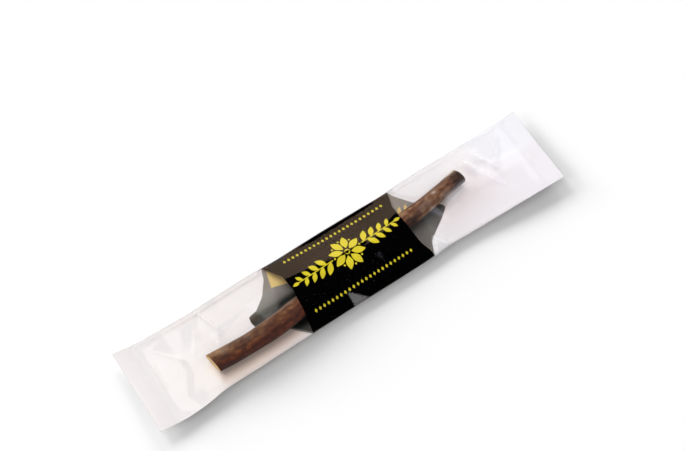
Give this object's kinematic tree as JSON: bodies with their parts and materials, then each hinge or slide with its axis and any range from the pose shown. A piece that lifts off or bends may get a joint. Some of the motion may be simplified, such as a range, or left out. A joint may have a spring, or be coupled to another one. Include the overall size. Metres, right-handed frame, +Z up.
{
  "type": "wrapped licorice root stick",
  "caption": "Dried licorice root stick with sawn ends, sealed in a clear flow-wrap sachet with a black printed band round the middle.",
  "frame": {"origin": "on the resting plane, under the middle of the sachet's outline", "axes": "+X along the sachet, +Y across it, +Z up out of its front"},
  "size_m": [0.19, 0.0358, 0.0094],
  "materials": {
    "bark": "dry, wrinkled bark with sawn ends",
    "clear_film": "clear, thin and glossy",
    "black_print": "black ink behind glossy film"
  },
  "bodies": {
    "root": {"licorice_root": "bark", "film_wrapper": "clear_film", "printed_band": "black_print"}
  },
  "joints": []
}
